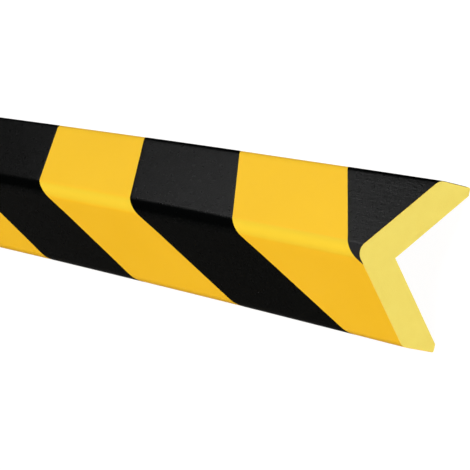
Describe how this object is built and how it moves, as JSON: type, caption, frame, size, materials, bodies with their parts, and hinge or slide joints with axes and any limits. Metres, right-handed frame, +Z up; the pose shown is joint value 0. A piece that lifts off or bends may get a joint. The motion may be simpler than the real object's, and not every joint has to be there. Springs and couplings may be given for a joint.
{
  "type": "foam corner edge protector",
  "caption": "Right-angled foam profile that cushions the corner of a wall, beam or rack, with black and yellow hazard stripes running over its rounded ridge.",
  "frame": {"origin": "midway along the length and across the width, at the level of the feet it stands on", "axes": "+Z up through the ridge, X along the length with the front end at +X, Y across the two legs"},
  "size_m": [1, 0.0452, 0.0326],
  "materials": {
    "yellow_foam": "satin skin of signal yellow on fine-celled foam, whose cut ends are matt pale yellow",
    "black_coat": "satin black coat, flush with the yellow skin"
  },
  "bodies": {
    "root": {"foam_profile": "yellow_foam", "black_stripes": "black_coat"}
  },
  "joints": []
}
